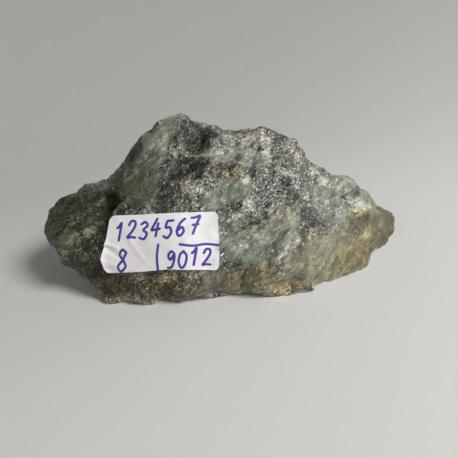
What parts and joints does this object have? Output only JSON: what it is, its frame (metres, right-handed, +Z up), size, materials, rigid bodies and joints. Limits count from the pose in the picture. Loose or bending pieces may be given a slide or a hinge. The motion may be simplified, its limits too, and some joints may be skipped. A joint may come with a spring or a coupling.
{
  "type": "emerald in matrix",
  "caption": "Hand-sized broken piece of dark mica schist holding pale green emerald crystals, with a small paper price label on its front. Rests on a flat base.",
  "frame": {"origin": "on the surface that the rock rests on, below the middle of its bounding box", "axes": "+X along the rock towards its pointed end, +Y to its back, away from the label, +Z up"},
  "size_m": [0.0852, 0.0424, 0.0366],
  "materials": {
    "schist": "rough, sparkling mica",
    "emerald": "dull glassy, translucent",
    "paper": "matt"
  },
  "bodies": {
    "root": {"schist_matrix": "schist", "emerald_crystal_top": "emerald", "emerald_crystal_upper": "emerald", "emerald_crystal_front": "emerald", "emerald_crystal_right": "emerald", "emerald_crystal_foot": "emerald", "paper_label": "paper"}
  },
  "joints": []
}
